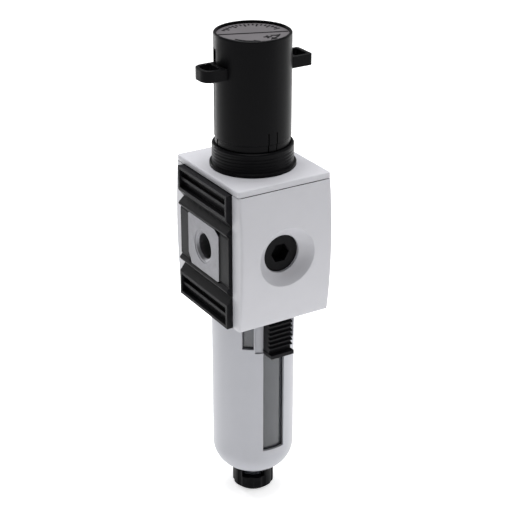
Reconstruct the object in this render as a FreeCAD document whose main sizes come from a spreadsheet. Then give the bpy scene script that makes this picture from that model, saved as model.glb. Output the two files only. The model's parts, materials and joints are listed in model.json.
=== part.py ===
import FreeCAD, Part
import math
import os
from types import SimpleNamespace

import Sketcher

# Lockable filter pressure regulator for compressed air, one 52 mm wide module.
# Millimetres. The origin is on the vertical axis, at the seat plane of the neck flange:
# everything above it belongs to the regulator's bonnet and knob, everything below to the
# body, the filter and the bowl. +Z is up, the gauge side faces -Y, air flows from -X to +X.

os.makedirs("parts", exist_ok=True)
doc = FreeCAD.newDocument("filter_regulator")

# ---------------------------------------------------------------- driving dimensions

DRIVING = {
    # body
    "module_width": 52.0,
    "cover_half_width": 22.7,
    "cover_wide_half": 23.2,
    "cover_front": 26.8,
    "cover_bulge": 2.4,
    "cover_wall": 2.3,
    "cover_edge_round": 1.2,
    "lid_corner_round": 1.0,
    "lid_drop": 1.5,
    "lid_thickness": 2.7,
    "seam_gap": 0.3,
    "body_depth": 67.5,
    "port_depth": 36.0,
    "core_half_width": 20.2,
    "core_half_length": 20.4,
    # side frames and port bushes
    "frame_half_length": 21.3,
    "frame_half_height": 31.4,
    "frame_block": 20.0,
    "groove_apex": 16.4,
    "groove_depth": 2.8,
    "ridge_height": 13.5,
    "rail_half_height": 10.9,
    "rail_setback": 1.0,
    "frame_wall": 1.4,
    "insert_half_length": 13.4,
    "insert_half_height": 12.1,
    "insert_setback": 0.5,
    "insert_plate": 2.6,
    "port_minor_radius": 5.72,
    "port_length": 12.5,
    "bush_radius": 9.0,
    # gauge port
    "gauge_hole_radius": 8.8,
    "dish_sphere_radius": 16.45,
    "dish_centre_reach": 8.8,
    "plug_head_radius": 8.6,
    # neck and bonnet
    "flange_radius": 19.1,
    "neck_radius": 18.0,
    "neck_height": 8.9,
    "collar_bore": 16.65,
    "tower_radius": 14.0,
    "tower_bore": 12.2,
    "tower_height": 38.0,
    "bonnet_skirt_radius": 16.5,
    "bonnet_skirt_depth": 9.0,
    # knob
    "knob_radius": 16.8,
    "knob_top": 57.9,
    "disc_recess": 1.95,
    "knob_step": 11.7,
    "knob_bottom": 7.2,
    "knob_bore": 14.45,
    "slot_near": 2.6,
    "slot_far": 6.6,
    "slot_top": 51.6,
    "ear_half_width": 6.0,
    "ear_reach": 26.5,
    "ear_top": 45.3,
    "ear_height": 5.0,
    "ear_strap": 1.6,
    "clip_gap": 0.15,
    "drive_flats": 7.0,
    # filter
    "guard_radius": 19.0,
    "guard_wall": 1.2,
    "guard_dome_height": 142.2,
    "guard_dome_radius": 13.0,
    "guard_top": 67.8,
    "bowl_radius": 17.4,
    "bowl_wall": 1.8,
    "window_half_width": 5.5,
    "window_top": 87.0,
    "window_bottom": 138.5,
    "latch_half_width": 5.6,
    "latch_top": 68.2,
    "latch_bottom": 86.2,
    "latch_front": 24.3,
    "drain_radius": 9.7,
    "drain_top": 156.2,
    "drain_bottom": 166.9,
    "drain_tab": 3.2,
    "drain_thread": 2.1,
    "drain_flange": 150.7,
    "element_radius": 11.5,
    "element_bore": 8.0,
    # clearances
    "running_gap": 0.06,
}

sheet = doc.addObject("Spreadsheet::Sheet", "Params")
for row, (alias, number) in enumerate(DRIVING.items(), start=1):
    sheet.set(f"A{row}", alias)
    sheet.set(f"B{row}", str(number))
    sheet.setAlias(f"B{row}", alias)
doc.recompute()


class Size:
    """A length together with the expression that gives it."""

    def __init__(self, value, text):
        self.value = float(value)
        self.text = text

    def join(self, other, sign, value, swap=False):
        left, right = (other, self) if swap else (self, other)
        return Size(value, f"({left.text} {sign} {right.text})")

    def __add__(self, other):
        other = size(other)
        return self.join(other, "+", self.value + other.value)

    __radd__ = __add__

    def __sub__(self, other):
        other = size(other)
        return self.join(other, "-", self.value - other.value)

    def __rsub__(self, other):
        other = size(other)
        return self.join(other, "-", other.value - self.value, swap=True)

    def __mul__(self, other):
        other = size(other)
        return self.join(other, "*", self.value * other.value)

    __rmul__ = __mul__

    def __truediv__(self, other):
        other = size(other)
        return self.join(other, "/", self.value / other.value)

    def __neg__(self):
        return Size(-self.value, f"(-1 * {self.text})")


def size(number):
    """A bare number as a Size, a Size as it is."""
    return number if isinstance(number, Size) else Size(number, repr(float(number)))


def root(number):
    """Square root of a Size."""
    return Size(math.sqrt(number.value), f"sqrt({number.text})")


d = SimpleNamespace(**{alias: Size(number, f"Params.{alias}") for alias, number in DRIVING.items()})

# Levels and planes that several parts share.
lid_top = -d.lid_drop
lid_bottom = lid_top - d.lid_thickness
body_bottom = -d.body_depth
port_z = -d.port_depth
frame_outer = d.module_width / 2
insert_face = frame_outer - d.insert_setback
insert_back = insert_face - d.insert_plate
diaphragm_top = -d.bonnet_skirt_depth
diaphragm_bottom = diaphragm_top - 1.2

LOCK_PITCH = 15  # degrees between the lock ring's gaps

NODES = {}
AXIS_ROTATION = {
    "X": FreeCAD.Rotation(FreeCAD.Vector(0, 1, 0), 90),
    "Y": FreeCAD.Rotation(FreeCAD.Vector(1, 0, 0), -90),
    "Z": FreeCAD.Rotation(),
}


# ---------------------------------------------------------------- building blocks


def keep(name, made):
    """Register an object as the sub-part of that name."""
    made.Label = name
    NODES[name] = made
    return made


def bind(made, **expressions):
    """Bind properties to Sizes. A dot in a property's name is written as two underscores."""
    for name, number in expressions.items():
        made.setExpression(name.replace("__", "."), size(number).text)
    return made


def put(made, x, y, z, axis="Z"):
    """Place a primitive with its own axis along X, Y or Z."""
    made.Placement.Rotation = AXIS_ROTATION[axis]
    return bind(made, Placement__Base__x=x, Placement__Base__y=y, Placement__Base__z=z)


def box(name, x, y, z):
    """Box between the two bounds on each axis."""
    made = doc.addObject("Part::Box", name)
    bind(made, Length=size(x[1]) - x[0], Width=size(y[1]) - y[0], Height=size(z[1]) - z[0])
    return put(made, x[0], y[0], z[0])


def rod(name, radius, bounds, centre=(0, 0), axis="Z"):
    """Cylinder along an axis, between two bounds on it, centred on the other two."""
    made = doc.addObject("Part::Cylinder", name)
    bind(made, Radius=radius, Height=size(bounds[1]) - bounds[0])
    place = list(centre)
    place.insert("XYZ".index(axis), bounds[0])
    return put(made, *place, axis=axis)


def ring(name, mean_radius, wire_radius, centre, axis="Z"):
    """O-ring: a torus round an axis."""
    made = doc.addObject("Part::Torus", name)
    bind(made, Radius1=mean_radius, Radius2=wire_radius)
    return put(made, *centre, axis=axis)


def tube(name, radii, bounds, centre=(0, 0), axis="Z"):
    """Hollow cylinder from an inner to an outer radius."""
    outer = rod(f"{name}_outer", radii[1], bounds, centre, axis)
    hole = rod(f"{name}_bore", radii[0], bounds, centre, axis)
    return cut(name, outer, hole)


def fuse(name, *shapes):
    made = doc.addObject("Part::MultiFuse", name)
    made.Shapes = list(shapes)
    made.Refine = True
    return made


def cut(name, base, *tools):
    made = doc.addObject("Part::Cut", name)
    made.Base = base
    made.Tool = tools[0] if len(tools) == 1 else fuse(f"{name}_tools", *tools)
    made.Refine = True
    return made


def common(name, first, second):
    made = doc.addObject("Part::Common", name)
    made.Base = first
    made.Tool = second
    return made


def rounded(name, shape, radius, chosen):
    """Round the edges for which chosen(edge) is true."""
    doc.recompute()
    made = doc.addObject("Part::Fillet", name)
    made.Base = shape
    edges = [i for i, edge in enumerate(shape.Shape.Edges, start=1) if chosen(edge)]
    made.Edges = [(i, radius, radius) for i in edges]
    return made


def mirrored(name, shape, normal):
    """Mirror image of a shape in a plane through the origin."""
    made = doc.addObject("Part::Mirroring", name)
    made.Source = shape
    made.Normal = FreeCAD.Vector(*normal)
    return made


def new_body(name):
    made = doc.addObject("PartDesign::Body", name)
    return keep(name, made)


def sketch_on(body, name, role, offset=None):
    """Sketch on one of the body's own origin planes, moved along its normal by offset."""
    made = body.newObject("Sketcher::SketchObject", name)
    plane = next(feature for feature in body.Origin.OriginFeatures if feature.Role == role)
    made.AttachmentSupport = [(plane, "")]
    made.MapMode = "FlatFace"
    if offset is not None:
        bind(made, AttachmentOffset__Base__z=offset)
    return made


def arc_between(start, end, radius, side):
    """Arc from start to end; side is +1 to bulge to the right of the way along it."""
    chord = end - start
    half = chord.Length / 2
    rise = math.sqrt(max(radius * radius - half * half, 0.0))
    normal = FreeCAD.Vector(-chord.y, chord.x, 0).normalize()
    centre = (start + end) * 0.5 + normal * rise * side
    middle = centre + ((start + end) * 0.5 - centre).normalize() * radius
    return Part.Arc(start, middle, end)


def outline(sketch, points):
    """Closed outline. A point is (x, y), or (x, y, radius, side) where an arc leaves it."""
    corners = [FreeCAD.Vector(size(p[0]).value, size(p[1]).value, 0) for p in points]
    ends = []
    for i, point in enumerate(points):
        start = corners[i]
        end = corners[(i + 1) % len(points)]
        if len(point) == 2:
            sketch.addGeometry(Part.LineSegment(start, end))
            ends.append((1, 2))
            continue
        arc = arc_between(start, end, size(point[2]).value, point[3])
        index = sketch.addGeometry(arc)
        near = (sketch.getPoint(index, 1) - start).Length < (sketch.getPoint(index, 2) - start).Length
        ends.append((1, 2) if near else (2, 1))
    for i, point in enumerate(points):
        follower = (i + 1) % len(points)
        sketch.addConstraint(Sketcher.Constraint("Coincident", i, ends[i][1], follower, ends[follower][0]))
    for i, point in enumerate(points):
        for kind, number in (("DistanceX", size(point[0])), ("DistanceY", size(point[1]))):
            rule = Sketcher.Constraint(kind, i, ends[i][0], number.value)
            bind(sketch, **{f"Constraints[{sketch.addConstraint(rule)}]": number})
        if len(point) == 4:
            rule = Sketcher.Constraint("Radius", i, size(point[2]).value)
            bind(sketch, **{f"Constraints[{sketch.addConstraint(rule)}]": point[2]})


def revolve(name, points):
    """Body turned about the vertical axis from an outline of (radius, height) points."""
    body = new_body(name)
    profile = sketch_on(body, f"{name}_profile", "XZ_Plane")
    outline(profile, points)
    made = body.newObject("PartDesign::Revolution", f"{name}_turned")
    made.Profile = profile
    made.ReferenceAxis = (profile, ["V_Axis"])
    made.Angle = 360
    return body


def pad(body, name, role, points, start, length, symmetric=False):
    """Outline on an origin plane, moved to start and padded by length."""
    profile = sketch_on(body, f"{name}_profile", role, start)
    outline(profile, points)
    made = body.newObject("PartDesign::Pad", name)
    made.Profile = profile
    made.Midplane = symmetric
    return bind(made, Length=length)


def rectangle(half_x, half_y, centre=(0, 0)):
    x, y = size(centre[0]), size(centre[1])
    return [(x - half_x, y - half_y), (x + half_x, y - half_y), (x + half_x, y + half_y), (x - half_x, y + half_y)]


def near(number, target, within=0.05):
    return abs(number - size(target).value) < within


def is_vertical(edge):
    """True for an edge that climbs more than it spreads."""
    bounds = edge.BoundBox
    return bounds.ZLength > 3 * max(bounds.XLength, bounds.YLength)


def coil(name, mean_radius, wire_radius, low, high, turns, centre=(0, 0)):
    """Helical compression spring whose wire lies between two levels."""
    mean, wire = size(mean_radius).value, size(wire_radius).value
    bottom = size(low).value + wire
    height = size(high).value - wire - bottom
    path = Part.makeHelix(height / turns, height, mean)
    path.translate(FreeCAD.Vector(0, 0, bottom))
    section = Part.Wire([Part.makeCircle(wire, FreeCAD.Vector(mean, 0, bottom), FreeCAD.Vector(0, 1, 0))])
    made = doc.addObject("Part::Feature", name)
    made.Shape = Part.Wire(path).makePipeShell([section], True, True)
    made.Placement.Base = FreeCAD.Vector(*centre, 0)
    return keep(name, made)


# ---------------------------------------------------------------- body: core, covers, lid


def core_housing():
    """Moulded core with the air passages, the valve bores and the bowl's bayonet socket."""
    block = box(
        "core_block",
        (-d.core_half_width, d.core_half_width),
        (-d.core_half_length, d.core_half_length),
        (body_bottom + 0.3, lid_bottom - 0.1),
    )
    port_reach = insert_face - d.port_length
    cuts = [
        rod("bonnet_thread_bore", d.bonnet_skirt_radius + 0.05, (diaphragm_bottom, 0)),
        rod("diaphragm_chamber", 13.4, (-16, diaphragm_bottom)),
        rod("valve_seat_bore", 7.05, (-26.0, -16)),
        rod("valve_chamber", 9.0, (-46, -26.0)),
        rod("valve_cap_bore", 10.5, (-53, -46)),
        rod("bowl_seal_bore", 17.0, (-57.5, -53)),
        rod("bowl_socket", 18.9, (body_bottom, -57.5)),
        rod("inlet_drop", 2.6, (-53.5, port_z), (-13.2, 0)),
        rod("outlet_rise", 2.6, (port_z, -15.5), (12.0, 0)),
        rod("front_gauge_rise", 1.2, (port_z, -15.5), (0, -12.0)),
        rod("rear_gauge_rise", 1.2, (port_z, -15.5), (0, 12.0)),
    ]
    for side, sign in (("inlet", -1), ("outlet", 1)):
        span = sorted((sign * (port_reach - 0.4), sign * (d.core_half_width + 1)), key=lambda s: s.value)
        cuts.append(rod(f"{side}_socket", d.bush_radius + 0.1, span, (0, port_z), "X"))
    for side, sign in (("front", -1), ("rear", 1)):
        span = sorted((size(sign * 11.0), sign * (d.core_half_length + 1)), key=lambda s: s.value)
        cuts.append(rod(f"{side}_gauge_socket", 7.0, span, (0, port_z), "Y"))
    for corner in range(4):
        cuts.append(bayonet_groove(f"bayonet_groove_{corner}", 90 * corner))
    cuts.append(box("latch_notch", (-4.2, 4.2), (-21, -17), (body_bottom, -65.0)))
    keep("core_housing", cut("core_housing", block, *cuts))


def sector(name, radii, span, bounds):
    """Part of a ring between two angles and two heights."""
    outer = rod(f"{name}_outer", radii[1], bounds)
    outer.Angle = span[1] - span[0]
    outer.Placement.Rotation = FreeCAD.Rotation(FreeCAD.Vector(0, 0, 1), span[0])
    inner = rod(f"{name}_inner", radii[0], bounds)
    return cut(name, outer, inner)


def bayonet_groove(name, start):
    """Entry slot and locking groove for one of the bowl guard's four lugs."""
    groove = sector(f"{name}_run", (18.0, 20.0), (start + 10.5, start + 49.5), (-61.4, -59.2))
    entry = sector(f"{name}_entry", (18.0, 20.0), (start + 10.5, start + 19.5), (body_bottom, -59.2))
    return fuse(name, groove, entry)


def cover(name, plug_side):
    """Front or rear shell: bulged face, rounded upright edges and a dished gauge recess."""
    sag = d.cover_bulge
    half_height = (d.body_depth - d.lid_drop) / 2
    curve = (half_height * half_height + sag * sag) / (2 * sag)
    crown = d.cover_front + sag
    middle = -(half_height + d.lid_drop)
    half, wide = d.cover_half_width, d.cover_wide_half
    heights = (body_bottom, lid_bottom - d.seam_gap)
    step = -(d.frame_half_length + 0.15)
    bulge = rod(f"{name}_bulge", curve, (-wide, wide), (curve - crown, middle), "X")
    face_block = box(f"{name}_face_block", (-wide, wide), (-crown - 1, step), heights)
    side_block = box(f"{name}_side_block", (-half, half), (step, -17.0), heights)
    shell = common(f"{name}_solid", bulge, fuse(f"{name}_block", face_block, side_block))
    soft = rounded(
        f"{name}_edges",
        shell,
        DRIVING["cover_edge_round"],
        lambda edge: is_vertical(edge) and edge.BoundBox.YMax < -23,
    )
    inside = d.core_half_width + 0.15
    cavity = box(
        f"{name}_cavity",
        (-inside, inside),
        (-(d.cover_front - d.cover_wall), 0),
        (body_bottom + d.cover_wall, lid_bottom + 1),
    )
    core_room = box(
        f"{name}_core_room",
        (-inside, inside),
        (-(d.core_half_length + 0.1), 0),
        (body_bottom - 1, lid_bottom + 1),
    )
    dish = doc.addObject("Part::Sphere", f"{name}_dish")
    bind(dish, Radius=d.dish_sphere_radius)
    put(dish, 0, -(crown + d.dish_centre_reach), port_z)
    gauge_hole = rod(f"{name}_gauge_hole", d.gauge_hole_radius, (-crown - 1, -17.0), (0, port_z), "Y")
    hollow = cut(f"{name}_hollow", soft, cavity, core_room, dish, gauge_hole)
    if plug_side == "front":
        notch = box(f"{name}_latch_notch", (-4.2, 4.2), (-21, -17), (body_bottom, -65.0))
        hollow = cut(f"{name}_notched", hollow, notch)
        return keep(name, hollow)
    return keep(name, mirrored(name, hollow, (0, 1, 0)))


def top_lid():
    """Flat lid, held down by the bonnet's flange."""
    half = d.cover_wide_half
    plate = box("lid_plate", (-half, half), (-d.cover_front, d.cover_front), (lid_bottom, lid_top))
    corners = rounded("lid_corners", plate, DRIVING["lid_corner_round"], is_vertical)
    top = rounded("lid_top_edge", corners, 0.7, lambda edge: near(edge.BoundBox.ZMin, lid_top, 0.01))
    keep("top_lid", cut("top_lid", top, rod("lid_hole", 16.8, (lid_bottom - 1, 0))))


def frame_profile(sign):
    """Section of a side frame, outwards and up, with a clamp groove above and below."""
    inner = d.cover_half_width + 0.05
    half = [
        (frame_outer, d.frame_half_height),
        (frame_outer, d.frame_block),
        (frame_outer - d.groove_depth, d.groove_apex),
        (frame_outer - 0.5, d.groove_apex - 2.1),
        (frame_outer, d.ridge_height),
        (frame_outer - 0.2, d.ridge_height - 0.7),
        (frame_outer - d.rail_setback - 0.3, d.rail_half_height + 0.8),
        (frame_outer - d.rail_setback, d.rail_half_height),
    ]
    points = [(inner, d.frame_half_height)] + half
    points += [(u, -w) for u, w in reversed(half)] + [(inner, -d.frame_half_height)]
    return [(sign * u, port_z + w) for u, w in points]


def side_frame(name, sign):
    """Black coupling frame: grooved rails for module clamps, two open pockets, port opening."""
    body = new_body(name)
    pad(body, f"{name}_plate", "XZ_Plane", frame_profile(sign), None, 2 * d.frame_half_length, True)
    inner = d.core_half_width + 0.1
    outer = d.cover_half_width + 0.05
    low, high = (inner, outer) if sign > 0 else (-outer, -inner)
    pad(
        body,
        f"{name}_backing",
        "YZ_Plane",
        rectangle(16.4, d.frame_half_height - 0.5, (0, port_z)),
        low,
        high - low,
    )
    pocket(body, f"{name}_port_opening", rectangle(13.65, 12.35, (0, port_z)), sign * 30, sign, 12)
    middle = (d.frame_half_height + d.frame_block) / 2
    tall = (d.frame_half_height - d.frame_block) / 2 - d.frame_wall
    long = d.frame_half_length - d.frame_wall
    for end, up in (("upper", 1), ("lower", -1)):
        centre = port_z + up * middle
        shallow = rectangle(long, tall, (0, centre))
        pocket(body, f"{name}_{end}_recess", shallow, sign * frame_outer, sign, 0.9)
        for half, shift in (("top", 1), ("bottom", -1)):
            slot = rectangle(long, tall / 2 - 0.35, (0, centre + shift * (tall / 2 + 0.35)))
            pocket(body, f"{name}_{end}_{half}_slot", slot, sign * frame_outer, sign, 2.6)
    return body


def pocket(body, name, points, start, sign, depth):
    """Pocket cut inwards from a plane at x = start, towards the vertical axis."""
    profile = sketch_on(body, f"{name}_profile", "YZ_Plane", start)
    outline(profile, points)
    made = body.newObject("PartDesign::Pocket", name)
    made.Profile = profile
    made.Reversed = sign < 0
    return bind(made, Length=depth)


def port_bush(name, sign):
    """Die-cast threaded bush: a plate in the frame's opening and a spigot into the core."""
    long, tall = d.insert_half_length, d.insert_half_height
    body = new_body(name)
    plate_start, plate_end = (insert_back, insert_face) if sign > 0 else (-insert_face, -insert_back)
    plate = [
        (-long, -tall + 0.8),
        (-long + 0.8, -tall),
        (long - 2.6, -tall),
        (long, -tall + 4.6),
        (long, tall - 0.8),
        (long - 0.8, tall),
        (-long + 3.4, tall),
        (-long, tall - 2.2),
    ]
    raised = [(y, port_z + z) for y, z in plate]
    pad(body, f"{name}_plate", "YZ_Plane", raised, plate_start, plate_end - plate_start)
    revolved_x(body, f"{name}_spigot", bush_profile(sign))
    revolved_x(body, f"{name}_thread", thread_profile(sign), groove=True)


def bush_profile(sign):
    """Spigot with its seal groove, as (along x, radius) points."""
    tip = insert_face - d.port_length
    radius = d.bush_radius
    points = [
        (tip, 4.0),
        (tip, radius - 0.5),
        (tip + 0.5, radius),
        (tip + 2.5, radius),
        (tip + 2.5, radius - 1.2),
        (tip + 4.4, radius - 1.2),
        (tip + 4.4, radius),
        (insert_back + 0.1, radius),
        (insert_back + 0.1, 4.0),
    ]
    return [(sign * x, r) for x, r in points]


def thread_profile(sign):
    """Everything removed along the port's axis: thread bore, chamfer and sealing face."""
    tip = insert_face - d.port_length
    bore = d.port_minor_radius
    points = [
        (tip - 1, 0),
        (tip - 1, bore),
        (insert_face - 1.2, bore),
        (insert_face - 0.2, bore + 1.0),
        (insert_face - 0.2, 7.9),
        (insert_face + 1, 7.9),
        (insert_face + 1, 0),
    ]
    return [(sign * x, r) for x, r in points]


def revolved_x(body, name, points, groove=False):
    """Outline of (x, radius) points turned about the port's axis, added or taken away."""
    profile = sketch_on(body, f"{name}_profile", "XZ_Plane")
    outline(profile, [(x, port_z + r) for x, r in points])
    axis = profile.addGeometry(Part.LineSegment(FreeCAD.Vector(0, -1, 0), FreeCAD.Vector(1, -1, 0)), True)
    rules = [("DistanceX", 1, size(0)), ("DistanceY", 1, port_z), ("DistanceX", 2, size(1)), ("DistanceY", 2, port_z)]
    for kind, end, number in rules:
        rule = Sketcher.Constraint(kind, axis, end, number.value)
        bind(profile, **{f"Constraints[{profile.addConstraint(rule)}]": number})
    made = body.newObject("PartDesign::Groove" if groove else "PartDesign::Revolution", name)
    made.Profile = profile
    made.ReferenceAxis = (profile, ["Axis0"])
    made.Angle = 360
    return made


def port_seal(name, sign):
    centre = sign * (insert_face - d.port_length + 3.45)
    keep(name, ring(name, d.bush_radius - 0.56, 0.6, (centre, 0, port_z), "X"))


def gauge_plug(name, sign):
    """Blanking plug with a hexagon socket, screwed into the gauge port."""
    span = sorted((size(sign * 14.4), size(sign * 20.5)), key=lambda s: s.value)
    shank = rod(f"{name}_shank", 6.9, span, (0, port_z), "Y")
    head_span = sorted((size(sign * 20.5), size(sign * 22.9)), key=lambda s: s.value)
    head = rod(f"{name}_head", d.plug_head_radius, head_span, (0, port_z), "Y")
    socket = doc.addObject("Part::Prism", f"{name}_socket")
    socket.Polygon = 6
    bind(socket, Circumradius=4.6, Height=5.5)
    turn = FreeCAD.Rotation(FreeCAD.Vector(1, 0, 0), 90 if sign > 0 else -90)
    socket.Placement.Rotation = turn
    bind(socket, Placement__Base__y=sign * 23.0, Placement__Base__z=port_z)
    groove = tube(f"{name}_groove", (5.7, 7.2), sorted_pair(sign * 17.4, sign * 19.2), (0, port_z), "Y")
    keep(name, cut(name, fuse(f"{name}_solid", shank, head), socket, groove))


def sorted_pair(first, second):
    pair = [size(first), size(second)]
    return tuple(sorted(pair, key=lambda s: s.value))


# ---------------------------------------------------------------- regulator


def bonnet():
    """Neck with the panel thread, the collar round the knob and the spring tower."""
    return revolve(
        "bonnet",
        [
            (13.6, diaphragm_top),
            (d.bonnet_skirt_radius, diaphragm_top),
            (d.bonnet_skirt_radius, lid_top),
            (d.flange_radius, lid_top),
            (d.flange_radius, -0.3),
            (d.flange_radius - 0.3, 0),
            (d.neck_radius, 0),
            (d.neck_radius, d.neck_height - 0.9, 0.9, 1),
            (d.neck_radius - 0.9, d.neck_height),
            (d.collar_bore, d.neck_height),
            (d.collar_bore, 1.5),
            (d.tower_radius, 1.5),
            (d.tower_radius, d.tower_height - 0.8),
            (d.tower_radius - 0.8, d.tower_height),
            (4.35, d.tower_height),
            (4.35, d.tower_height - 3),
            (d.tower_bore, d.tower_height - 3),
            (d.tower_bore, -6.0),
        ],
    )


def lock_ring():
    """Toothed ring in the bottom of the collar; the lock clip's feet drop between its teeth."""
    base = tube("lock_ring_blank", (14.25, 16.4), (1.55, 4.3))
    gaps = []
    for i in range(int(360 / LOCK_PITCH)):
        gap = box(f"lock_gap_{i}", (13.5, 17.5), (-1.4, 1.4), (2.0, 5))
        turned_gap = doc.addObject("Part::Compound", f"lock_gap_turned_{i}")
        turned_gap.Links = [gap]
        turned_gap.Placement.Rotation = FreeCAD.Rotation(FreeCAD.Vector(0, 0, 1), LOCK_PITCH * i)
        gaps.append(turned_gap)
    keep("lock_ring", cut("lock_ring", base, *gaps))


def side_pair(name, reach, span, bounds):
    """Box on each side, off the middle and turned half a turn from each other."""
    near_y, far_y = span
    left = box(f"{name}_left", (-reach, 0), (near_y, far_y), bounds)
    right = box(f"{name}_right", (0, reach), (-far_y, -near_y), bounds)
    return fuse(name, left, right)


def knob():
    """Adjusting knob: a deep cap over the spring tower, slotted on both sides for the lock clip."""
    turned_cap = doc.addObject("PartDesign::Body", "knob_cap")
    profile = sketch_on(turned_cap, "knob_profile", "XZ_Plane")
    outline(
        profile,
        [
            (0, 44),
            (6.3, 44),
            (6.3, 53.5),
            (d.knob_bore, 53.5),
            (d.knob_bore, d.knob_bottom),
            (d.knob_radius - 0.4, d.knob_bottom),
            (d.knob_radius - 0.4, d.knob_step),
            (d.knob_radius, d.knob_step + 0.4),
            (d.knob_radius, d.knob_top - 0.6, 0.6, 1),
            (d.knob_radius - 0.6, d.knob_top),
            (d.knob_radius - 1.1, d.knob_top),
            (d.knob_radius - 1.1, d.knob_top - d.disc_recess),
            (0, d.knob_top - d.disc_recess),
        ],
    )
    cap = turned_cap.newObject("PartDesign::Revolution", "knob_turned")
    cap.Profile = profile
    cap.ReferenceAxis = (profile, ["V_Axis"])
    cap.Angle = 360
    drive = doc.addObject("Part::Prism", "knob_drive_socket")
    drive.Polygon = 6
    bind(drive, Circumradius=(d.drive_flats / 2 + d.running_gap) / math.cos(math.pi / 6), Height=9.3)
    put(drive, 0, 0, 43.9)
    slots = side_pair("knob_slots", 20, (d.slot_near, d.slot_far), (d.knob_bottom - 1, d.slot_top))
    boss_keep = rod("knob_slot_core", d.knob_bore, (d.knob_bottom - 2, d.slot_top + 1))
    through = cut("knob_slot_cuts", slots, boss_keep)
    slits = []
    for side, sign in (("front", -1), ("rear", 1)):
        for edge, shift in (("left", -1), ("right", 1)):
            slit = box(
                f"knob_slit_{side}_{edge}",
                (shift * 2.05 - 0.3, shift * 2.05 + 0.3),
                sorted_pair(sign * 13.5, sign * 18),
                (d.knob_bottom - 1, d.knob_step + 5.8),
            )
            slits.append(slit)
    keep("knob", cut("knob", turned_cap, drive, through, *slits))


def knob_disc():
    """Printed disc pressed into the knob's top."""
    level = d.knob_top - d.disc_recess
    keep("knob_disc", rod("knob_disc", d.knob_radius - 1.15, (level, level + 0.75)))


def lock_clip():
    """One moulding: a bridge ring inside the knob, a leg in each slot and a padlock ear on each."""
    gap = d.clip_gap
    leg_in, leg_out = 14.6, d.knob_radius - gap
    low = d.ear_top - d.ear_height
    span = (d.slot_near + gap, d.slot_far - gap)
    shell = tube("clip_leg_shell", (leg_in, leg_out), (d.knob_bottom + 0.2, d.ear_top))
    legs = common("clip_legs", shell, side_pair("clip_leg_width", 20, span, (d.knob_bottom, d.ear_top)))
    root_shell = tube("clip_root_shell", (leg_in, d.knob_radius + 1), (low, d.ear_top))
    root_span = (span[0], d.ear_half_width - 0.1)
    roots = common("clip_roots", root_shell, side_pair("clip_root_width", 20, root_span, (low, d.ear_top)))
    foot_shell = tube("clip_foot_shell", (leg_in, 16.2), (4.7, d.knob_bottom + 0.4))
    foot_bar = box("clip_foot_width", (-20, 20), (-1.15, 1.15), (4.6, d.knob_bottom + 0.5))
    turned_bar = doc.addObject("Part::Compound", "clip_foot_turned")
    turned_bar.Links = [foot_bar]
    turned_bar.Placement.Rotation = FreeCAD.Rotation(FreeCAD.Vector(0, 0, 1), -LOCK_PITCH)
    feet = common("clip_feet", foot_shell, turned_bar)
    bridge = tube("clip_bridge", (7.4, 13.9), (41, 43))
    arm_bars = side_pair("clip_arm_bars", 15.2, span, (41, 43))
    arms = cut("clip_arms", arm_bars, rod("clip_arm_core", 12.0, (40, 44)))
    parts = [legs, roots, feet, bridge, arms]
    for side, sign, corner in (("left", -1, 4.6), ("right", 1, 1.2)):
        parts.append(padlock_ear(side, sign, corner, (low, d.ear_top)))
    keep("lock_clip", fuse("lock_clip", *parts))


def padlock_ear(side, sign, corner, levels):
    """Flat loop outside the knob; its two outer corners are rounded."""
    half, strap = d.ear_half_width, d.ear_strap
    block = box(f"clip_ear_block_{side}", sorted_pair(sign * 14.0, sign * d.ear_reach), (-half, half), levels)
    ear = rounded(f"clip_ear_{side}", block, corner, at_tip(d.ear_reach))
    hole_block = box(
        f"clip_hole_block_{side}",
        sorted_pair(sign * (d.knob_radius + strap), sign * (d.ear_reach - strap)),
        (-(half - strap), half - strap),
        (levels[0] - 1, levels[1] + 1),
    )
    inner_corner = max(corner - DRIVING["ear_strap"], 0.6)
    hole = rounded(f"clip_hole_{side}", hole_block, inner_corner, at_tip(d.ear_reach - strap))
    knob_room = rod(f"clip_knob_room_{side}", d.knob_radius + d.clip_gap, (levels[0] - 1, levels[1] + 1))
    return cut(f"clip_loop_{side}", ear, hole, knob_room)


def at_tip(reach):
    """Chooser of the upright edges at a distance from the axis, along X on either side."""
    return lambda edge: is_vertical(edge) and near(abs(edge.BoundBox.XMax), reach, 0.1)


def spindle():
    """Adjusting screw: thread, thrust flange and a hexagon that slides in the knob."""
    shaft = [
        (0, 8),
        (3.5, 8),
        (3.95, 8.5),
        (3.95, 33.4),
        (6.5, 33.4),
        (6.5, 34.5),
        (4.25, 34.5),
        (4.25, 38.3),
        (0, 38.3),
    ]
    turned_shaft = doc.addObject("PartDesign::Body", "spindle_shaft")
    profile = sketch_on(turned_shaft, "spindle_profile", "XZ_Plane")
    outline(profile, shaft)
    made = turned_shaft.newObject("PartDesign::Revolution", "spindle_turned")
    made.Profile = profile
    made.ReferenceAxis = (profile, ["V_Axis"])
    made.Angle = 360
    drive = doc.addObject("Part::Prism", "spindle_hexagon")
    drive.Polygon = 6
    bind(drive, Circumradius=d.drive_flats / 2 / math.cos(math.pi / 6), Height=12.0)
    put(drive, 0, 0, 38.0)
    keep("spindle", fuse("spindle", turned_shaft, drive))


def thrust_washer():
    keep("thrust_washer", tube("thrust_washer", (4.35, 6.8), (34.52, 34.98)))


def spring_seat():
    """Threaded upper spring seat that climbs and falls on the spindle."""
    return revolve(
        "spring_seat",
        [
            (4.02, 25),
            (6.8, 25),
            (6.8, 29),
            (11.8, 29),
            (11.8, 31.5),
            (8, 31.5),
            (8, 33.2),
            (4.02, 33.2),
        ],
    )


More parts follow.
